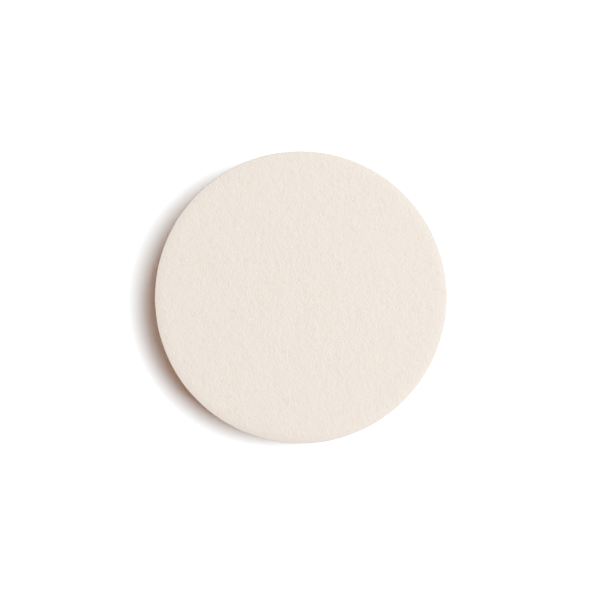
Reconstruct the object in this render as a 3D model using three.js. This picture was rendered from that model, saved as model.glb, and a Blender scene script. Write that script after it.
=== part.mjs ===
// A round makeup sponge: an open-cell foam disc with a thin suede-like facing bonded to each face.
// Lengths are in millimetres and +Z is up. The origin is the middle of the face that the sponge rests on.

import * as THREE from 'three';

// Overall size
const spongeDiameter = 60;
const spongeThickness = 8; // at the middle, where it is thickest

// Layers
const facingEdgeThickness = 0.5; // at the cut edge, where a facing is thinnest
const bondThickness = 0.1;

// Faces
const crownRise = 0.25; // how far the upper face swells at its middle
const rimBandWidth = 2.6; // the band inside the edge where each face rolls off
const rimDrop = 0.1; // how far a face falls across that band

// Cut side
const edgeRadius = 0.25; // the rounding that the die leaves at each corner
const wallDrawIn = 0.4; // how far the side pulls in at mid-height

// Mesh steps
const roundSteps = 72;
const crownSteps = 5;
const rimSteps = 5;
const cornerSteps = 4;
const wallSteps = 8;

// Sizes that follow from the ones above
const spongeRadius = spongeDiameter / 2;
const cornerRound = Math.min(edgeRadius, facingEdgeThickness / 2);
const cornerStart = spongeRadius - cornerRound;
const rimBandStart = cornerStart - rimBandWidth;
const lowerBondPlane = facingEdgeThickness + rimDrop;
const coreBottom = lowerBondPlane + bondThickness;
const upperBondPlane = spongeThickness - crownRise - rimDrop - facingEdgeThickness;
const coreTop = upperBondPlane - bondThickness;
const wallBottom = lowerBondPlane - facingEdgeThickness + cornerRound;
const wallTop = upperBondPlane + facingEdgeThickness - cornerRound;

// Finishes
const facingFinish = new THREE.MeshStandardMaterial({
  name: 'facing',
  color: '#efe6dc',
  roughness: 0.95,
  metalness: 0,
});
const foamFinish = new THREE.MeshStandardMaterial({
  name: 'foam',
  color: '#f0e4d2',
  roughness: 0.9,
  metalness: 0,
});
const bondFinish = new THREE.MeshStandardMaterial({
  name: 'bond',
  color: '#eadcc4',
  roughness: 0.6,
  metalness: 0,
});

// The radius of the cut side at a height: full at the two corners and drawn in between them.
function wallRadius(height) {
  const fromMiddle = (2 * height - wallBottom - wallTop) / (wallTop - wallBottom);
  return spongeRadius - wallDrawIn * (1 - fromMiddle ** 2);
}

// How thick a facing is at a radius, inside the corner.
function facingThickness(radius, crown) {
  const acrossBand = Math.max(0, (radius - rimBandStart) / rimBandWidth);
  const rimFall = rimDrop * acrossBand ** 3;
  const crownFall = crown * (radius / cornerStart) ** 2;
  return facingEdgeThickness + rimDrop + crown - rimFall - crownFall;
}

// The evenly spaced values from one number to another, without the first.
function stepsBetween(from, to, count) {
  return Array.from({ length: count }, (_, i) => from + ((to - from) * (i + 1)) / count);
}

// A solid turned about the Z axis from an outline of [radius, height] points.
function turned(outline) {
  const points = outline.map(([radius, height]) => new THREE.Vector2(radius, height));
  return new THREE.LatheGeometry(points, roundSteps).rotateX(Math.PI / 2);
}

// A facing's outer face and corner, from the axis out, as [radius, thickness] points.
function facingProfile(crown) {
  const flatSteps = crown > 0 ? crownSteps : 1;
  const faceRadii = [
    0,
    ...stepsBetween(0, rimBandStart, flatSteps),
    ...stepsBetween(rimBandStart, cornerStart, rimSteps),
  ];
  const face = faceRadii.map((radius) => [radius, facingThickness(radius, crown)]);
  const corner = stepsBetween(0, Math.PI / 2, cornerSteps).map((angle) => [
    cornerStart + cornerRound * Math.sin(angle),
    facingEdgeThickness - cornerRound * (1 - Math.cos(angle)),
  ]);
  return [...face, ...corner];
}

function upperFacing() {
  const outside = facingProfile(crownRise).map(([radius, thickness]) => [
    radius,
    upperBondPlane + thickness,
  ]);
  return turned([
    [0, upperBondPlane],
    [wallRadius(upperBondPlane), upperBondPlane],
    ...outside.reverse(),
  ]);
}

function lowerFacing() {
  const outside = facingProfile(0).map(([radius, thickness]) => [
    radius,
    lowerBondPlane - thickness,
  ]);
  return turned([
    ...outside,
    [wallRadius(lowerBondPlane), lowerBondPlane],
    [0, lowerBondPlane],
  ]);
}

function bondFilm(bottom, top) {
  return turned([
    [0, bottom],
    [wallRadius(bottom), bottom],
    [wallRadius(top), top],
    [0, top],
  ]);
}

function foamCore() {
  const wall = [coreBottom, ...stepsBetween(coreBottom, coreTop, wallSteps)];
  return turned([
    [0, coreBottom],
    ...wall.map((height) => [wallRadius(height), height]),
    [0, coreTop],
  ]);
}

function named(name, geometry, finish) {
  const mesh = new THREE.Mesh(geometry, finish);
  mesh.name = name;
  return mesh;
}

const sponge = new THREE.Group();
sponge.add(
  named('lower_facing', lowerFacing(), facingFinish),
  named('lower_bond_film', bondFilm(lowerBondPlane, coreBottom), bondFinish),
  named('foam_core', foamCore(), foamFinish),
  named('upper_bond_film', bondFilm(coreTop, upperBondPlane), bondFinish),
  named('upper_facing', upperFacing(), facingFinish),
);

export default sponge;
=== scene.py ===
"""Dresses the makeup sponge: two suede-like facings, an open-cell foam core and two bond lines."""

import math

import bpy
import numpy as np
from mathutils import Euler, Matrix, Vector, noise


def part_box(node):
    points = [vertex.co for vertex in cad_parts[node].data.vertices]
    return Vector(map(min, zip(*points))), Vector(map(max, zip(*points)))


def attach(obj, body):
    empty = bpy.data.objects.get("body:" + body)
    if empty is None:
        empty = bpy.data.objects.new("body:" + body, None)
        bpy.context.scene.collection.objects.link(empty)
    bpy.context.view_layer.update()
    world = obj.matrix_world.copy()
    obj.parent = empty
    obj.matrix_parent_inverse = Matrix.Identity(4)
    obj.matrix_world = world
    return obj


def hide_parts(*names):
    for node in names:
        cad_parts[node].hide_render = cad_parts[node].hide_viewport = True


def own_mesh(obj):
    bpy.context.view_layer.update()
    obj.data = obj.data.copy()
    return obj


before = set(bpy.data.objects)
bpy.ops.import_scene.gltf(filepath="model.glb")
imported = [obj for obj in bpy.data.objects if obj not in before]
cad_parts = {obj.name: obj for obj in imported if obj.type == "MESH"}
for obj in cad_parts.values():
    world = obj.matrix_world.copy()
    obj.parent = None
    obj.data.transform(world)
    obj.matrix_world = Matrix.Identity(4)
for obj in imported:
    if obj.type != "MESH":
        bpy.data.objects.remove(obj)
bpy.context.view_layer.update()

# The cut shape, in metres
CORNER_RADIUS = 0.00010
FACING_EDGE = 0.0005  # how thick a facing is at the cut side
RIM_BAND = 0.0026  # the band inside the edge where each face rolls off
RIM_DROP = 0.00010
RIM_POWER = 3  # the higher, the closer to the edge the face rolls off
WALL_DRAW_IN = 0.0004
LAYER_GAP = 0.00001  # between two layers, so that their faces don't flicker

# The unevenness of the cut, in metres
OUTLINE_WAVE_LENGTH = 0.004
OUTLINE_WAVE_HEIGHT = 0.00003
OUTLINE_WAVE_POWER = 8  # the higher, the closer to the edge a face follows it

# Mesh steps
FACE_STEPS = 288  # across a facing
CORNER_STEPS = 5
EDGE_STEPS = 3
CORE_AROUND_STEPS = 1680
CORE_UP_STEPS = 54
FILM_AROUND_STEPS = 4 * FACE_STEPS  # as many as round a facing
FILM_UP_STEPS = 2

# Relief of a facing: (size of the swellings, height), in metres
FACING_RELIEF = ((0.0060, 0.000020), (0.0024, 0.000017), (0.0012, 0.000013), (0.0007, 0.000017))
RELIEF_SHIFTS = {"upper_facing": 0.37, "lower_facing": 0.61}  # in metres, so that the two faces differ
RELIEF_POWER = 40  # the higher, the closer to the edge the relief fades

# The rim of each facing is worn lower on one side
WEAR_DROP = 0.00028
WEAR_WAY = -88.0  # degrees from +X towards +Y
WEAR_POWER = 5.0  # the higher, the narrower the worn side
WEAR_RIM_POWER = 26.0  # the higher, the closer the wear keeps to the rim

# The nap of a facing: fine strokes that lean alike, in metres
NAP_WIDTH = 0.00034
NAP_LENGTH = 0.00040
NAP_LEAN = 50.0  # degrees from +X towards +Y
NAP_TILT = 20.0  # turns the noise round the nap's length, so that its own grid doesn't show
NAP_HEIGHT = 0.000068

# The pits of a facing: shallow hollows of uneven shape, where a noise of that size rises over a limit.
# Their darker, warmer colour is painted shade
PIT_SIZE = 0.0009
PIT_START, PIT_FULL = 0.56, 1.0
PIT_DEPTH = 0.00002

# The drift of a facing's tone: how wide its patches are, in metres
DRIFT_SIZE = 0.0005
BLUSH_SIZE = 0.0015
BLUSH_SHARE = 0.5  # how much of the blush a patch has at most

# The core's open cells at its cut side, and the finer pores between them, in metres
CELL_SIZE = 0.00050
CELL_DEPTH = 0.00015
CELL_WALL_SHARE = 0.45  # of the distance between two cells' middles
SHALLOW_CELL_SHARE = 0.25  # how deep the shallowest cells are, of the deepest
PORE_SPACING = 0.00024
PORE_REACH = 0.00010
PORE_DEPTH = 0.00003

# The grain of a bond film, in metres
BOND_GRAIN_SIZE = 0.0006
BOND_GRAIN_HEIGHT = 0.00002

# The angles, in radians, that turn a noise so that its own grid doesn't show
NOISE_ANGLES = (0.9, 0.6, 0.4)
NOISE_TURN = np.array(Euler(NOISE_ANGLES).to_matrix())

# How far each noise is moved, in metres, so that one has nothing to do with another
DRIFT_SHIFT = 0.5
BLUSH_SHIFT = 0.9
PIT_SHIFT = 0.2

# How often each noise adds finer swellings to its own, each time half as wide
NAP_DETAIL = 2.0
DRIFT_DETAIL = 3.0
BLUSH_DETAIL = 3.0
PIT_DETAIL = 2.0
BOND_GRAIN_DETAIL = 2.0

# Colours, linear
FACING_COOL_COLOUR = (0.853, 0.845, 0.888)
FACING_WARM_COLOUR = (0.865, 0.822, 0.596)
FACING_GROOVE_SHADE_COLOUR = (0.848, 0.768, 0.680)  # painted shade between the strokes of the nap
# painted shade in the pits of a facing
FACING_PIT_SHADE_COLOUR = (0.836, 0.704, 0.54)
FACING_BLUSH_COLOUR = (0.898, 0.759, 0.760)
CORE_COLOUR = (0.855, 0.75, 0.655)
# painted shade deep in the core's open cells
CORE_CELL_SHADE_COLOUR = (0.775, 0.625, 0.50)
# painted shade in the core's pores
CORE_PORE_SHADE_COLOUR = (0.79, 0.675, 0.55)
BOND_COLOUR = (0.82, 0.71, 0.55)
BOND_DARK_COLOUR = (0.72, 0.61, 0.46)

# Shine and roughness
LOW_SHINE = 0.2  # the shader's specular level, which is 0.5 on a plain plastic
NAP_ROUGHNESS = (1.0, 0.85)  # between the strokes of the nap and on them
CELL_ROUGHNESS = (0.8, 1.0)  # on a cell's wall and deep in the cell
BOND_ROUGHNESS = (0.4, 0.7)

# Light. The key lamp is a rectangular soft box. Angles are in degrees.
KEY_COLOUR = (0.869, 0.963, 1.0)
KEY_POWER = 14.87  # watts for each square metre of the soft box
KEY_DISTANCE = 3.0  # metres
KEY_AZIMUTH = 9.0  # from +X towards +Y
KEY_ELEVATION = 52.0
KEY_ROLL = 48.0  # how far the soft box is turned about the line to the sponge
KEY_WIDTHS = (62.0, 48.0)  # how wide it looks from the sponge, along each of its sides
AMBIENT_COLOUR = (0.191, 0.104, 0.069)

# Floor and background
FLOOR_SIZE = 1.2  # metres
FLOOR_COLOUR = (0.62, 0.62, 0.62)  # to the light
FLOOR_SEEN_COLOUR = (1.49, 1.57, 1.61)  # over 1, so that the lit floor is plain white to the camera
WHITE = (1.0, 1.0, 1.0)

# Camera, in metres
CAMERA_HEIGHT = 0.6  # above the upper face
PICTURE_WIDTH = 0.1230  # what the picture spans at the upper face
PICTURE_CENTRE = (-0.00020, -0.00055)
SENSOR_WIDTH = 0.036
CLIP_START = 0.01
MILLIMETRES = 1000  # in a metre, because a camera's lens and sensor are in millimetres

UPPER_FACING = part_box("upper_facing")
LOWER_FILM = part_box("lower_bond_film")
UPPER_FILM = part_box("upper_bond_film")
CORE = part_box("foam_core")
RADIUS = UPPER_FACING[1].x
TOP = UPPER_FACING[1].z
CORNER_ANGLE = math.atan(RIM_POWER * RIM_DROP / RIM_BAND)  # the slope where the corner's rounding begins
CORNER_START = RADIUS - CORNER_RADIUS * (1 - math.sin(CORNER_ANGLE))
CORNER_MIDDLE = FACING_EDGE - CORNER_RADIUS * math.cos(CORNER_ANGLE)  # height over a facing's back
WALL_BOTTOM = RIM_DROP + CORNER_RADIUS
WALL_TOP = UPPER_FACING[0].z + FACING_EDGE - CORNER_RADIUS


def noise_at(points, size, shift=0.0):
    """Smooth noise from -1 to 1 at each point moved by the shift, in swellings of that size."""
    scaled = (points + shift) @ NOISE_TURN / size
    return np.fromiter((noise.noise(Vector(p)) for p in scaled), float, len(scaled))


def wall_radius(height):
    """The cut side's radius at a height: drawn in between the two corners."""
    from_middle = (2 * height - WALL_BOTTOM - WALL_TOP) / (WALL_TOP - WALL_BOTTOM)
    return RADIUS - WALL_DRAW_IN * (1 - from_middle**2)


def outline_wave(angles):
    """How far the cut strays from a true circle at each angle."""
    around = np.stack([np.cos(angles), np.sin(angles), np.zeros_like(angles)], axis=1) * RADIUS
    return OUTLINE_WAVE_HEIGHT * noise_at(around, OUTLINE_WAVE_LENGTH)


def rim_wear(angles):
    """How much lower the rim lies at each angle than where it is whole."""
    return WEAR_DROP * np.maximum(np.cos(angles - math.radians(WEAR_WAY)), 0) ** WEAR_POWER


def facing_thickness(radius, crown):
    """How thick a facing is at each radius inside the corner."""
    across = np.clip((radius - CORNER_START + RIM_BAND) / RIM_BAND, 0, 1)
    rim_fall = RIM_DROP * across**RIM_POWER
    crown_fall = crown * (radius / CORNER_START) ** 2
    return FACING_EDGE + RIM_DROP + crown - rim_fall - crown_fall


def disc_grid(steps):
    """A square grid bent to a disc of radius 1: its points, its quads and its rim.

    The rim is the numbers of its points, anticlockwise.
    """
    line = np.linspace(-1, 1, steps + 1)
    a, b = np.meshgrid(line, line)
    wide = np.abs(a) >= np.abs(b)
    radius = np.where(wide, a, b)
    safe = np.where(radius == 0, 1, radius)
    angle = np.where(wide, math.pi / 4 * b / safe, math.pi / 2 - math.pi / 4 * a / safe)
    points = np.stack([radius * np.cos(angle), radius * np.sin(angle)], axis=-1).reshape(-1, 2)
    number = np.arange((steps + 1) ** 2).reshape(steps + 1, steps + 1)
    quads = np.stack([number[:-1, :-1], number[:-1, 1:], number[1:, 1:], number[1:, :-1]], axis=-1)
    rim = np.concatenate([number[0, :-1], number[:-1, -1], number[-1, :0:-1], number[:0:-1, 0]])
    return points, quads.reshape(-1, 4), rim


def ring_quads(first, second):
    """The quads between two anticlockwise rings, of which the second lies outside the first or below it."""
    return np.stack([first, second, np.roll(second, -1), np.roll(first, -1)], axis=1)


def make_mesh(name, points, faces):
    """A smooth-shaded object in the scene, with its place in its mesh."""
    mesh = bpy.data.meshes.new(name)
    mesh.from_pydata(points.tolist(), [], [list(map(int, f)) for f in faces])
    mesh.validate()
    mesh.shade_smooth()
    piece = bpy.data.objects.new(name, mesh)
    bpy.context.scene.collection.objects.link(piece)
    return piece


def store(piece, name, values):
    """Keeps a number or a place for each point of the mesh, for the material to read."""
    kind, field = ("FLOAT", "value") if values.ndim == 1 else ("FLOAT_VECTOR", "vector")
    attribute = piece.data.attributes.new(name, kind, "POINT")
    attribute.data.foreach_set(field, values.astype(np.float32).ravel())


def face_points(flat, angles, crown, relief_shift, outward):
    """The points of a facing's worn face, each with its height over the facing's back."""
    radius = np.hypot(flat[:, 0], flat[:, 1])
    reach = CORNER_START + radius**OUTLINE_WAVE_POWER * outline_wave(angles)
    points = np.column_stack([flat * reach[:, None], np.zeros(len(flat))])
    relief = sum(height * noise_at(points, size, relief_shift) for size, height in FACING_RELIEF)
    if outward < 0:
        relief -= relief.max()  # the highest swellings of the lower face rest on the ground
    fade = 1 - radius**RELIEF_POWER
    wear = rim_wear(angles) * radius**WEAR_RIM_POWER
    points[:, 2] = facing_thickness(CORNER_START * radius, crown) + fade * relief - wear
    return points


def side_rings(plane, outward):
    """The rings of a facing's corner and cut edge, from the face on: (radius, height over its back)."""
    rings = []
    for angle in np.linspace(CORNER_ANGLE, math.pi / 2, CORNER_STEPS + 1)[1:]:
        radius = RADIUS - CORNER_RADIUS * (1 - math.sin(angle))
        rings.append((radius, CORNER_MIDDLE + CORNER_RADIUS * math.cos(angle)))
    for height in np.linspace(CORNER_MIDDLE, LAYER_GAP, EDGE_STEPS + 1)[1:]:
        rings.append((float(wall_radius(plane + outward * height)), float(height)))
    return rings


def facing(name, node, outward):
    """A facing: its worn face, the rounded corner, the cut edge and the flat back on the bond film."""
    low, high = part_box(node)
    plane = low.z if outward > 0 else high.z
    crown = high.z - low.z - FACING_EDGE - RIM_DROP
    flat, quads, last = disc_grid(FACE_STEPS)
    angles = np.arctan2(flat[:, 1], flat[:, 0])
    around = angles[last]
    turn = np.column_stack([np.cos(around), np.sin(around)])
    wave = outline_wave(around)
    wear = rim_wear(around)
    parts = [face_points(flat, angles, crown, RELIEF_SHIFTS[node], outward)]
    faces = [quads]
    count = len(flat)
    for radius, height in side_rings(plane, outward):
        worn_share = min((height - LAYER_GAP) / (CORNER_MIDDLE - LAYER_GAP), 1)
        parts.append(np.column_stack([turn * (radius + wave)[:, None], height - worn_share * wear]))
        ring = np.arange(count, count + len(around))
        faces.append(ring_quads(last, ring))
        last = ring
        count += len(around)
    back_middle = [0, 0, LAYER_GAP]
    back = np.stack([last, np.full(len(around), count), np.roll(last, -1)], axis=1)
    points = np.concatenate([*parts, [back_middle]])
    points[:, 2] = plane + outward * points[:, 2]
    all_faces = [*np.concatenate(faces).tolist(), *back.tolist()]
    if outward < 0:
        all_faces = [f[::-1] for f in all_faces]
    return make_mesh(name, points, all_faces)


def band_grid(box, up_steps, around):
    """The angle and the height of each point of a layer's side, ring by ring from the lowest."""
    heights = np.linspace(box[0].z + LAYER_GAP, box[1].z - LAYER_GAP, up_steps + 1)
    angles = np.linspace(0, 2 * math.pi, around, endpoint=False)
    return np.tile(angles, up_steps + 1), np.repeat(heights, around)


def turned_band(name, angles, heights, radii, around):
    """A closed disc. Its side has these points, in rings of so many points each."""
    side = np.column_stack([radii * np.cos(angles), radii * np.sin(angles), heights])
    number = np.arange(len(side)).reshape(-1, around)
    quads = np.concatenate([ring_quads(upper, lower) for lower, upper in zip(number, number[1:])])
    caps = [[0, 0, heights[0]], [0, 0, heights[-1]]]
    bottom = np.stack([np.full(around, len(side)), np.roll(number[0], -1), number[0]], axis=1)
    top = np.stack([np.full(around, len(side) + 1), number[-1], np.roll(number[-1], -1)], axis=1)
    points = np.concatenate([side, caps])
    return make_mesh(name, points, [*quads.tolist(), *bottom.tolist(), *top.tolist()])


def cell_depths(points):
    """How deep each point of the core's cut side lies in an open cell, from 0 on a cell's wall to 1."""
    depths = np.zeros(len(points))
    deepest = np.zeros(len(points))
    for i, point in enumerate(points / CELL_SIZE):
        distances, middles = noise.voronoi(Vector(point), distance_metric="DISTANCE")
        depths[i] = min(1.0, (distances[1] - distances[0]) / CELL_WALL_SHARE)
        own_number = abs(noise.cell(middles[0] / CELL_SIZE))  # from 0 to 1, the same all over a cell
        deepest[i] = SHALLOW_CELL_SHARE + (1 - SHALLOW_CELL_SHARE) * own_number
    return deepest * depths * depths * (3 - 2 * depths)


def core_piece():
    """The foam core, with open cells in its cut side."""
    angles, heights = band_grid(CORE, CORE_UP_STEPS, CORE_AROUND_STEPS)
    smooth = wall_radius(heights) + outline_wave(angles)
    cells = cell_depths(np.column_stack([smooth * np.cos(angles), smooth * np.sin(angles), heights]))
    piece = turned_band("open_cell_core", angles, heights, smooth - CELL_DEPTH * cells, CORE_AROUND_STEPS)
    # The depth in a cell, which the material reads for its painted shade and its roughness
    store(piece, "cell", np.concatenate([cells, [0, 0]]))
    store(piece, "rest_place", np.array([v.co for v in piece.data.vertices]))
    return piece


def film_piece(name, box):
    """A bond film, which shows as a line at the cut side."""
    angles, heights = band_grid(box, FILM_UP_STEPS, FILM_AROUND_STEPS)
    radii = wall_radius(heights) + outline_wave(angles) - LAYER_GAP
    return turned_band(name, angles, heights, radii, FILM_AROUND_STEPS)


def new_material(name):
    """A material with a Principled shader of low shine, and its node tree."""
    material = bpy.data.materials.new(name)
    material.use_nodes = True
    tree = material.node_tree
    shader = tree.nodes["Principled BSDF"]
    shader.inputs["Specular IOR Level"].default_value = LOW_SHINE
    return material, tree, shader


def noise_node(tree, coordinates, size, detail):
    """Noise from 0 to 1 in swellings of that size, in metres."""
    node = tree.nodes.new("ShaderNodeTexNoise")
    node.inputs["Scale"].default_value = 1 / size
    node.inputs["Detail"].default_value = detail
    tree.links.new(coordinates, node.inputs["Vector"])
    return node.outputs["Fac"]


def mixed(tree, share, first, second):
    """The colour between two colours; each is an output or three numbers."""
    node = tree.nodes.new("ShaderNodeMix")
    node.data_type = "RGBA"
    for socket, value in ((node.inputs[6], first), (node.inputs[7], second)):
        if isinstance(value, tuple):
            socket.default_value = (*value, 1)
        else:
            tree.links.new(value, socket)
    tree.links.new(share, node.inputs[0])
    return node.outputs[2]


def ranged(tree, value, low, high, start=0.0, end=1.0):
    """A value from start to end spread to run from low to high."""
    node = tree.nodes.new("ShaderNodeMapRange")
    node.inputs["From Min"].default_value = start
    node.inputs["From Max"].default_value = end
    node.inputs["To Min"].default_value = low
    node.inputs["To Max"].default_value = high
    tree.links.new(value, node.inputs["Value"])
    return node.outputs["Result"]


def bumped(tree, shader, layers):
    """Gives the shader the bumps of each (value from 0 to 1, height in metres)."""
    normal = None
    for value, height in layers:
        bump = tree.nodes.new("ShaderNodeBump")
        bump.inputs["Distance"].default_value = height
        tree.links.new(value, bump.inputs["Height"])
        if normal is not None:
            tree.links.new(normal, bump.inputs["Normal"])
        normal = bump.outputs["Normal"]
    tree.links.new(normal, shader.inputs["Normal"])


def moved(tree, coordinates, shift):
    """Coordinates moved and turned, so that a noise there has nothing to do with one here."""
    mapping = tree.nodes.new("ShaderNodeMapping")
    mapping.inputs["Location"].default_value = (shift, shift, shift)
    mapping.inputs["Rotation"].default_value = NOISE_ANGLES
    tree.links.new(coordinates, mapping.inputs["Vector"])
    return mapping.outputs["Vector"]


def along_nap(tree, coordinates, width, length):
    """Coordinates in which a stroke of the nap of that width and length is a round spot 1 across."""
    mapping = tree.nodes.new("ShaderNodeMapping")
    mapping.vector_type = "TEXTURE"
    mapping.inputs["Rotation"].default_value = (math.radians(NAP_TILT), 0, math.radians(NAP_LEAN))
    mapping.inputs["Scale"].default_value = (length, width, width)
    tree.links.new(coordinates, mapping.inputs["Vector"])
    return mapping.outputs["Vector"]


def spots(tree, coordinates, spacing, reach):
    """How far into a scattered spot each point lies, from 0 outside the spots to 1 in the middle of one."""
    cells = tree.nodes.new("ShaderNodeTexVoronoi")
    cells.inputs["Scale"].default_value = 1 / spacing
    tree.links.new(coordinates, cells.inputs["Vector"])
    depth = tree.nodes.new("ShaderNodeMapRange")
    depth.interpolation_type = "SMOOTHSTEP"
    depth.inputs["From Max"].default_value = reach / spacing
    depth.inputs["To Min"].default_value = 1.0
    depth.inputs["To Max"].default_value = 0.0
    tree.links.new(cells.outputs["Distance"], depth.inputs["Value"])
    return depth.outputs["Result"]


def attribute(tree, name, output):
    """What store() kept for each point of the mesh under that name."""
    node = tree.nodes.new("ShaderNodeAttribute")
    node.attribute_name = name
    return node.outputs[output]


def object_coordinates(tree):
    return tree.nodes.new("ShaderNodeTexCoord").outputs["Object"]


def facing_material():
    """Suede: a fine leaning nap with painted shade between its strokes, a drifting tone, a faint blush, and
    shallow pits with painted shade in them.
    """
    material, tree, shader = new_material("suede_facing")
    at = object_coordinates(tree)
    nap = noise_node(tree, along_nap(tree, at, NAP_WIDTH, NAP_LENGTH), 1.0, NAP_DETAIL)
    drift = noise_node(tree, moved(tree, at, DRIFT_SHIFT), DRIFT_SIZE, DRIFT_DETAIL)
    blush = noise_node(tree, moved(tree, at, BLUSH_SHIFT), BLUSH_SIZE, BLUSH_DETAIL)
    pit_noise = noise_node(tree, moved(tree, at, PIT_SHIFT), PIT_SIZE, PIT_DETAIL)
    pits_and_shade = ranged(tree, pit_noise, 0.0, 1.0, PIT_START, PIT_FULL)
    tone = mixed(tree, drift, FACING_COOL_COLOUR, FACING_WARM_COLOUR)
    # Painted shade: between the strokes of the nap the colour turns to the darker, warmer groove colour
    nap_shaded = mixed(tree, nap, FACING_GROOVE_SHADE_COLOUR, tone)
    blushed = mixed(tree, ranged(tree, blush, 0.0, BLUSH_SHARE), nap_shaded, FACING_BLUSH_COLOUR)
    # Painted shade: the colour turns darker and warmer in the pits, which the bump below also sinks
    pit_shaded = mixed(tree, pits_and_shade, blushed, FACING_PIT_SHADE_COLOUR)
    tree.links.new(pit_shaded, shader.inputs["Base Color"])
    tree.links.new(ranged(tree, nap, *NAP_ROUGHNESS), shader.inputs["Roughness"])
    bumped(tree, shader, [(nap, NAP_HEIGHT), (pits_and_shade, -PIT_DEPTH)])
    return material


def core_material():
    """Open-cell foam with painted shade in its pores and deep in its cells. Reads the place each point had
    at rest, so that the pores flatten with the foam.
    """
    material, tree, shader = new_material("open_cell_foam")
    at = attribute(tree, "rest_place", "Vector")
    cells = attribute(tree, "cell", "Fac")
    pores = spots(tree, at, PORE_SPACING, PORE_REACH)
    # Painted shade: the colour turns darker and warmer in the pores, which the bump below also sinks
    walls_with_pore_shade = mixed(tree, pores, CORE_COLOUR, CORE_PORE_SHADE_COLOUR)
    # Painted shade: the colour turns darker and warmer deep in each open cell
    tone = mixed(tree, cells, walls_with_pore_shade, CORE_CELL_SHADE_COLOUR)
    tree.links.new(tone, shader.inputs["Base Color"])
    tree.links.new(ranged(tree, cells, *CELL_ROUGHNESS), shader.inputs["Roughness"])
    bumped(tree, shader, [(pores, -PORE_DEPTH)])
    return material


def bond_material():
    """Dried adhesive with a faint grain."""
    material, tree, shader = new_material("bond_film")
    grain = noise_node(tree, object_coordinates(tree), BOND_GRAIN_SIZE, BOND_GRAIN_DETAIL)
    tree.links.new(mixed(tree, grain, BOND_COLOUR, BOND_DARK_COLOUR), shader.inputs["Base Color"])
    tree.links.new(ranged(tree, grain, *BOND_ROUGHNESS), shader.inputs["Roughness"])
    bumped(tree, shader, [(grain, BOND_GRAIN_HEIGHT)])
    return material


def seen_shader(tree, kind, seen_colour, colour):
    """A shader of that kind, with one colour to the camera and another to the light.

    What the camera sees by reflection or through glass has the first colour too.
    """
    shaders = []
    for value in (seen_colour, colour):
        shader = tree.nodes.new(kind)
        shader.inputs["Color"].default_value = (*value, 1)
        shaders.append(shader.outputs[0])
    seen, unseen = shaders
    path = tree.nodes.new("ShaderNodeLightPath")
    total = path.outputs["Is Camera Ray"]
    for ray in ("Is Glossy Ray", "Is Transmission Ray"):
        add = tree.nodes.new("ShaderNodeMath")
        add.operation = "MAXIMUM"
        tree.links.new(total, add.inputs[0])
        tree.links.new(path.outputs[ray], add.inputs[1])
        total = add.outputs[0]
    mix = tree.nodes.new("ShaderNodeMixShader")
    tree.links.new(total, mix.inputs[0])
    tree.links.new(unseen, mix.inputs[1])
    tree.links.new(seen, mix.inputs[2])
    return mix.outputs[0]


def floor_material():
    """White to the camera, and a pale grey to the light."""
    material = bpy.data.materials.new("white_floor")
    material.use_nodes = True
    tree = material.node_tree
    tree.nodes.remove(tree.nodes["Principled BSDF"])
    surface = seen_shader(tree, "ShaderNodeBsdfDiffuse", FLOOR_SEEN_COLOUR, FLOOR_COLOUR)
    tree.links.new(surface, tree.nodes["Material Output"].inputs["Surface"])
    return material


def make_floor():
    half = FLOOR_SIZE / 2
    corners = np.array([(-half, -half, 0), (half, -half, 0), (half, half, 0), (-half, half, 0)])
    floor = make_mesh("floor", corners, [[0, 1, 2, 3]])
    floor.data.materials.append(floor_material())


def make_world():
    """White to the camera, and a dim warm ambient light on the sponge."""
    world = bpy.data.worlds.new("studio")
    bpy.context.scene.world = world
    world.use_nodes = True
    tree = world.node_tree
    tree.nodes.remove(tree.nodes["Background"])
    surface = seen_shader(tree, "ShaderNodeBackground", WHITE, AMBIENT_COLOUR)
    tree.links.new(surface, tree.nodes["World Output"].inputs["Surface"])


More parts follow.
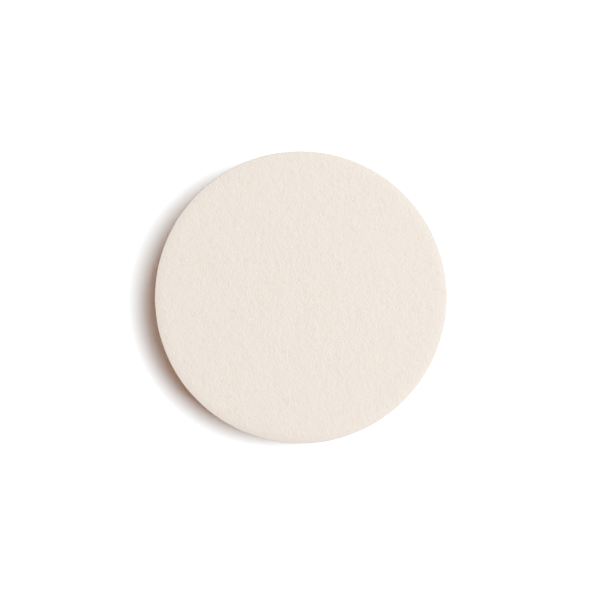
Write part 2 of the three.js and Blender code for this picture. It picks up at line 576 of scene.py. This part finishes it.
def make_key():
    """The soft box, which faces the sponge."""
    around, up = math.radians(KEY_AZIMUTH), math.radians(KEY_ELEVATION)
    towards = Vector((math.cos(up) * math.cos(around), math.cos(up) * math.sin(around), math.sin(up)))
    sides = [2 * KEY_DISTANCE * math.tan(math.radians(width) / 2) for width in KEY_WIDTHS]
    light = bpy.data.lights.new("key", "AREA")
    light.shape = "RECTANGLE"
    light.size, light.size_y = sides
    light.color = KEY_COLOUR
    light.energy = KEY_POWER * light.size * light.size_y
    lamp = bpy.data.objects.new("key", light)
    lamp.location = towards * KEY_DISTANCE
    roll = Euler((0, 0, math.radians(KEY_ROLL))).to_quaternion()
    lamp.rotation_euler = (towards.to_track_quat("Z", "Y") @ roll).to_euler()
    bpy.context.scene.collection.objects.link(lamp)


def make_camera():
    """Straight above the sponge."""
    data = bpy.data.cameras.new("camera")
    data.sensor_width = SENSOR_WIDTH * MILLIMETRES
    data.lens = SENSOR_WIDTH * MILLIMETRES * CAMERA_HEIGHT / PICTURE_WIDTH
    data.clip_start = CLIP_START
    camera = bpy.data.objects.new("camera", data)
    camera.location = (*PICTURE_CENTRE, TOP + CAMERA_HEIGHT)
    bpy.context.scene.collection.objects.link(camera)
    bpy.context.scene.camera = camera


def dress(piece, material, node, body):
    """Puts a piece in a CAD node's place, on the node's body."""
    piece.data.materials.append(material)
    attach(piece, body)
    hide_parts(node)


def make_sponge():
    """The five layers. The foam flattens as the sponge is pressed."""
    suede, foam, bond = facing_material(), core_material(), bond_material()
    upper = facing("upper_suede_facing", "upper_facing", 1)
    lower = facing("lower_suede_facing", "lower_facing", -1)
    dress(upper, suede, "upper_facing", "upper_layers")
    dress(lower, suede, "lower_facing", "lower_layers")
    upper_film = film_piece("upper_bond_line", UPPER_FILM)
    lower_film = film_piece("lower_bond_line", LOWER_FILM)
    dress(upper_film, bond, "upper_bond_film", "upper_layers")
    dress(lower_film, bond, "lower_bond_film", "lower_layers")
    core = core_piece()
    dress(core, foam, "foam_core", "lower_layers")
    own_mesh(core)


bpy.context.scene.view_settings.view_transform = "Standard"
make_camera()
make_world()
make_key()
make_floor()
make_sponge()
